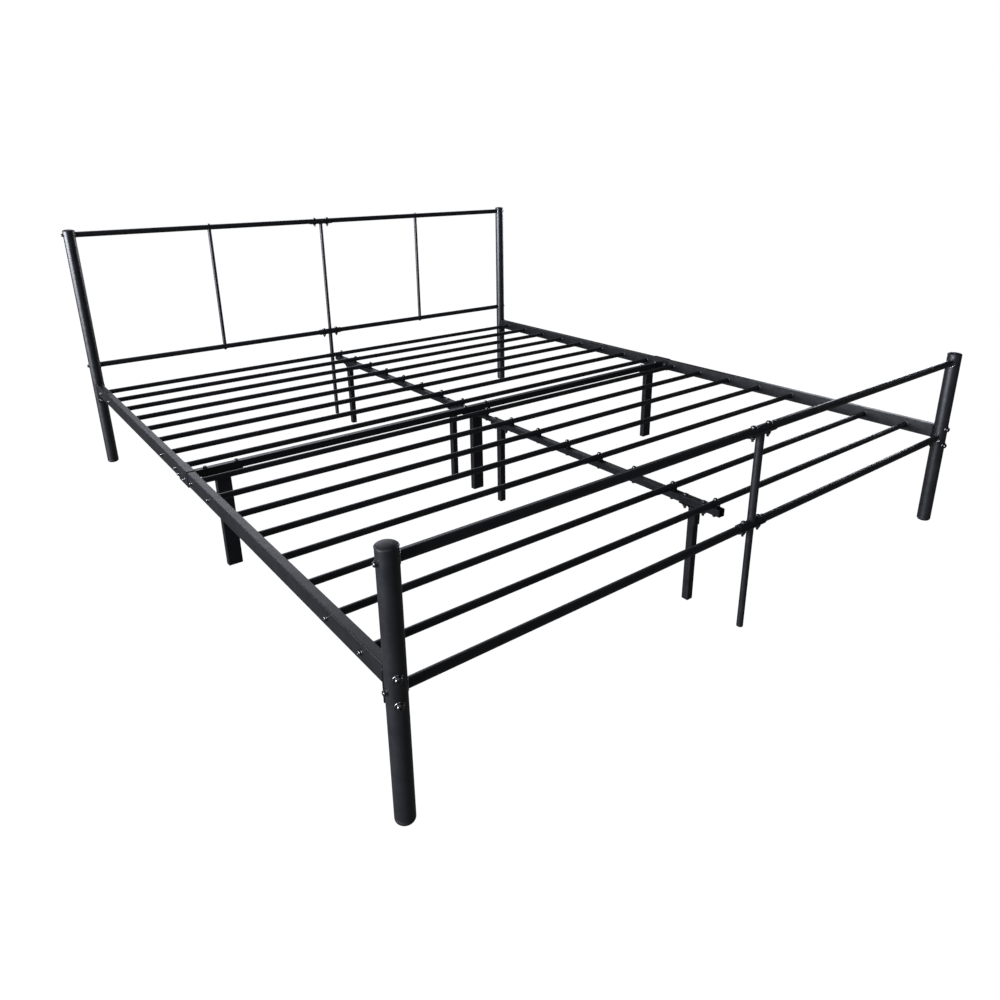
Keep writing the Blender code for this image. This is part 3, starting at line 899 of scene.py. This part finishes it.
def post_bolt(bm, post, out, z, head, height, ring, grip=None):
    """A bolt into a post, pointing out square to its surface, on a washer bent to it."""
    surface = Vector((post[0], post[1], z)) + POST_RADIUS * out
    place = frame_at(surface, out, out.cross(Z))
    curved_washer(bm, place, ring * MM)
    base = 1.3 * MM
    socket_head(bm, place, head * MM, height * MM, base)
    if grip is None:
        return
    depth, thread = grip * MM, 4 * MM
    washer(bm, place @ Matrix.Translation((0, 0, -depth - 1.2 * MM)), ring * MM, 1.2 * MM)
    nut(bm, place, 1.75 * thread, 1.5 * thread, -depth - 1.2 * MM)
    shank(bm, place, thread, 0, depth + 1.5 * thread + 4 * MM)


def add_post_bolts():
    """Two bolts through each post into a side rail's bracket, and one into each board rail."""
    bm = bmesh.new()
    for side, sign_x in SIDES:
        for sign_y in (-1, 1):
            turn = radians(BRACKET_BOLT_TURN[side]) if sign_y == -1 else 0
            out = Vector((-sin(turn), sign_y * cos(turn), 0))
            for z in BRACKET_BOLT_Z:
                post = (sign_x * POST_X, sign_y * POST_Y)
                post_bolt(bm, post, out, z, 6.6, 4.8, 9.8, grip=2 * POST_RADIUS / MM + 2.9)
    add_piece("bracket_bolts", bm, BOLT_STEEL)
    bm = bmesh.new()
    for (board, _), z in RAIL_Z.items():
        for _, sign_x in SIDES:
            post_bolt(bm, (sign_x * POST_X, BOARD_Y[board]), sign_x * X, z, 5.0, 4.6, 6.4)
    add_piece("board_rail_bolts", bm, BOLT_STEEL)


def add_saddle_bolts():
    """Two upright bolts in each middle joint of the boards."""
    bm = bmesh.new()
    for (board, level), z in RAIL_Z.items():
        top = RAIL_RADIUS if level == "top" else SADDLE_RADIUS
        grip = (top + SADDLE_RADIUS) / MM - 0.6
        for x in (-BOARD_JOINT_BOLT_X, BOARD_JOINT_BOLT_X):
            face = (x, BOARD_Y[board], z + top - 0.8 * MM)
            bolt(bm, frame_at(face, Z, X), 6.2, 3.8, 7.2, grip=grip, thread=3.0, tail=7)
    add_piece("board_joint_bolts", bm, BOLT_STEEL)


def add_side_rod_bolts():
    bm = bmesh.new()
    for _, sign_x in SIDES:
        x = sign_x * middle("headboard_side_rod_right").x
        for level, sign_z in (("top", 1), ("lower", -1)):
            z = RAIL_Z["headboard", level] + sign_z * (RAIL_RADIUS - 0.7 * MM)
            bolt(bm, frame_at((x, POST_Y, z), sign_z * Z, X), 4.8, 3.2, 5.6)
    add_piece("side_rod_bolts", bm, BOLT_STEEL)


def add_side_rail_bolts():
    """Bolts on the outer faces of the side rails, and the two at each end of the cross-beam."""
    bm = bmesh.new()
    rows = [middle(node).y for node in slat_nodes()]
    slat_bolts = [rows[i] for i in (0, 1, 6, 7, 8, 9, 14, 15)]
    for _, sign_x in SIDES:
        face = sign_x * (POST_X + SIDE_RAIL_WIDTH / 2)
        for y in slat_bolts:
            bolt(bm, frame_at((face, y, SIDE_RAIL_Z - 1 * MM), sign_x * X, Y), 5.0, 3.6, 7.0)
        for y in SLEEVE_BOLT_Y:
            outer = face + sign_x * SLEEVE_GROW / 2
            bolt(bm, frame_at((outer, y, SIDE_RAIL_Z - 7 * MM), sign_x * X, Y), 5.2, 3.8, 7.0)
        inner = sign_x * (CROSS_REACH - FLANGE)
        for y in (-FLANGE_BOLT_Y, FLANGE_BOLT_Y):
            place = frame_at((inner, y, CROSS_Z), -sign_x * X, Y)
            bolt(bm, place, 5.0, 4.0, 6.6)
    add_piece("side_rail_bolts", bm, BOLT_STEEL)


def add_slat_bolts():
    """A bolt down through the middle of each slat and the centre beam, with a nut underneath."""
    bm = bmesh.new()
    for node in slat_nodes():
        y = middle(node).y
        face = (3.5 * MM + 0.005 * y, y, SLAT_Z + SLAT_RADIUS - 0.6 * MM)
        under = BEAM_BOTTOM_Z if abs(y) > 96 * MM else BEAM_TOP_Z - 15.6 * MM
        grip = (face[2] - under) / MM
        bolt(bm, frame_at(face, Z, X), 5.4, 4.4, 6.6, grip=grip, thread=2.5, tail=3)
    add_piece("slat_bolts", bm, BOLT_STEEL)


def add_leg_bolts():
    """Two bolts through each leg's plate, from the top of the beam that it carries."""
    bm = bmesh.new()
    for number in range(1, 5):
        low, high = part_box(f"centre_beam_leg_{number}")
        y = (low.y + high.y) / 2
        grip = (BEAM_TOP_Z - high.z + PLATE) / MM
        for offset in (-BEAM_LEG_BOLT_Y, BEAM_LEG_BOLT_Y):
            place = frame_at((0, y + offset, BEAM_TOP_Z), Z, X)
            bolt(bm, place, 5.6, 2.6, 9.2, grip=grip, thread=3.4, tail=8)
    for place_name in ("left", "centre", "right"):
        low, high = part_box(f"cross_beam_leg_{place_name}")
        x = (low.x + high.x) / 2
        grip = (CROSS_TOP_Z - high.z + PLATE) / MM
        for offset in (-CROSS_LEG_BOLT_X, CROSS_LEG_BOLT_X):
            place = frame_at((x + offset, 0, CROSS_TOP_Z), Z, X)
            bolt(bm, place, 5.4, 3.6, 7.4, grip=grip, thread=3, tail=4)
    add_piece("leg_bolts", bm, BOLT_STEEL)


# Studio


def add_camera():
    """A three-quarter view over the foot end's left corner."""
    data = bpy.data.cameras.new("camera")
    data.sensor_width = 36
    data.lens = 27.5
    data.shift_x = -0.0058
    data.shift_y = -0.0618
    data.clip_end = 60
    camera = bpy.data.objects.new("camera", data)
    bpy.context.scene.collection.objects.link(camera)
    yaw = Matrix.Rotation(-0.6576, 4, "Z")
    pitch = Matrix.Rotation(1.2249, 4, "X")
    roll = Matrix.Rotation(-0.0101, 4, "Z")
    camera.matrix_world = Matrix.Translation((-1.4126, -1.9929, 1.0592)) @ yaw @ pitch @ roll
    bpy.context.scene.camera = camera


def add_softbox(name, azimuth, elevation, distance, size, power):
    """A soft rectangular light round the bed; azimuth in degrees from +X, counted towards +Y."""
    data = bpy.data.lights.new(name, "AREA")
    data.shape = "RECTANGLE"
    data.size, data.size_y = size
    data.energy = power
    data.color = (0.93, 0.965, 1.08)
    lamp = bpy.data.objects.new(name, data)
    aim = Vector((0, 0, 0.3 if elevation > 10 else 0))
    level = radians(elevation)
    turn = radians(azimuth)
    away = Vector((cos(turn) * cos(level), sin(turn) * cos(level), sin(level)))
    lamp.location = aim + distance * away
    lamp.rotation_euler = (-away).to_track_quat("-Z", "Y").to_euler()
    bpy.context.scene.collection.objects.link(lamp)


def add_lights():
    """Far, low walls of light on the left and the right, and softer ones behind and above."""
    add_softbox("left_wall", 183, 8, 10, (6.4, 2.4), 1900)
    add_softbox("low_left", 156, 4, 10, (3.4, 1.6), 330)
    add_softbox("right_wall", 10, 7, 10, (6.0, 2.0), 350)
    add_softbox("edge_line", 122, 24, 6, (1.8, 1.0), 36)
    add_softbox("back_middle", 82, 28, 4.2, (2.4, 1.8), 27)
    add_softbox("back_low", 72, 8, 4.2, (2.6, 1.0), 12)
    add_softbox("back_right", 50, 28, 4.2, (2.2, 1.8), 8)
    add_softbox("overhead_back", 90, 60, 4.2, (2.2, 1.8), 8)
    add_softbox("front_left_fill", 232, 35, 4.2, (2.2, 1.8), 18)


def add_world():
    """White for the camera, and a dim grey for the light that fills the shadows."""
    world = bpy.data.worlds.new("studio")
    world.use_nodes = True
    tree = world.node_tree
    fill = tree.nodes["Background"]
    fill.inputs["Color"].default_value = (0.045, 0.046, 0.049, 1)
    backdrop = tree.nodes.new("ShaderNodeBackground")
    backdrop.inputs["Color"].default_value = (1, 1, 1, 1)
    seen = tree.nodes.new("ShaderNodeLightPath")
    mix = tree.nodes.new("ShaderNodeMixShader")
    tree.links.new(seen.outputs["Is Camera Ray"], mix.inputs["Fac"])
    tree.links.new(fill.outputs["Background"], mix.inputs[1])
    tree.links.new(backdrop.outputs["Background"], mix.inputs[2])
    tree.links.new(mix.outputs["Shader"], tree.nodes["World Output"].inputs["Surface"])
    bpy.context.scene.world = world
    bpy.context.scene.view_settings.view_transform = "Standard"


def add_floor():
    """A plain white floor that gives only a dim grey to the black tubes' reflections."""
    bm = bmesh.new()
    bmesh.ops.create_grid(bm, x_segments=1, y_segments=1, size=30)
    mesh = bpy.data.meshes.new("floor")
    bm.to_mesh(mesh)
    bm.free()
    material, tree, shader = new_material("floor_white")
    shader.inputs["Base Color"].default_value = (0.05, 0.05, 0.05, 1)
    shader.inputs["Roughness"].default_value = 0.9
    shader.inputs["Specular IOR Level"].default_value = 0.0
    shader.inputs["Emission Color"].default_value = (1, 1, 1, 1)
    seen = tree.nodes.new("ShaderNodeLightPath")
    glow = spread(tree, seen.outputs["Is Camera Ray"], 0.05, 1.0, (0, 1))
    tree.links.new(glow, shader.inputs["Emission Strength"])
    mesh.materials.append(material)
    floor = bpy.data.objects.new("floor", mesh)
    bpy.context.scene.collection.objects.link(floor)


add_camera()
add_posts()
add_board_rails()
add_rods()
add_hole_rims()
add_side_rails()
add_slats()
add_slat_collars()
add_slat_saddles()
add_beams()
add_legs()
add_post_bolts()
add_saddle_bolts()
add_side_rod_bolts()
add_side_rail_bolts()
add_slat_bolts()
add_leg_bolts()
add_lights()
add_world()
add_floor()
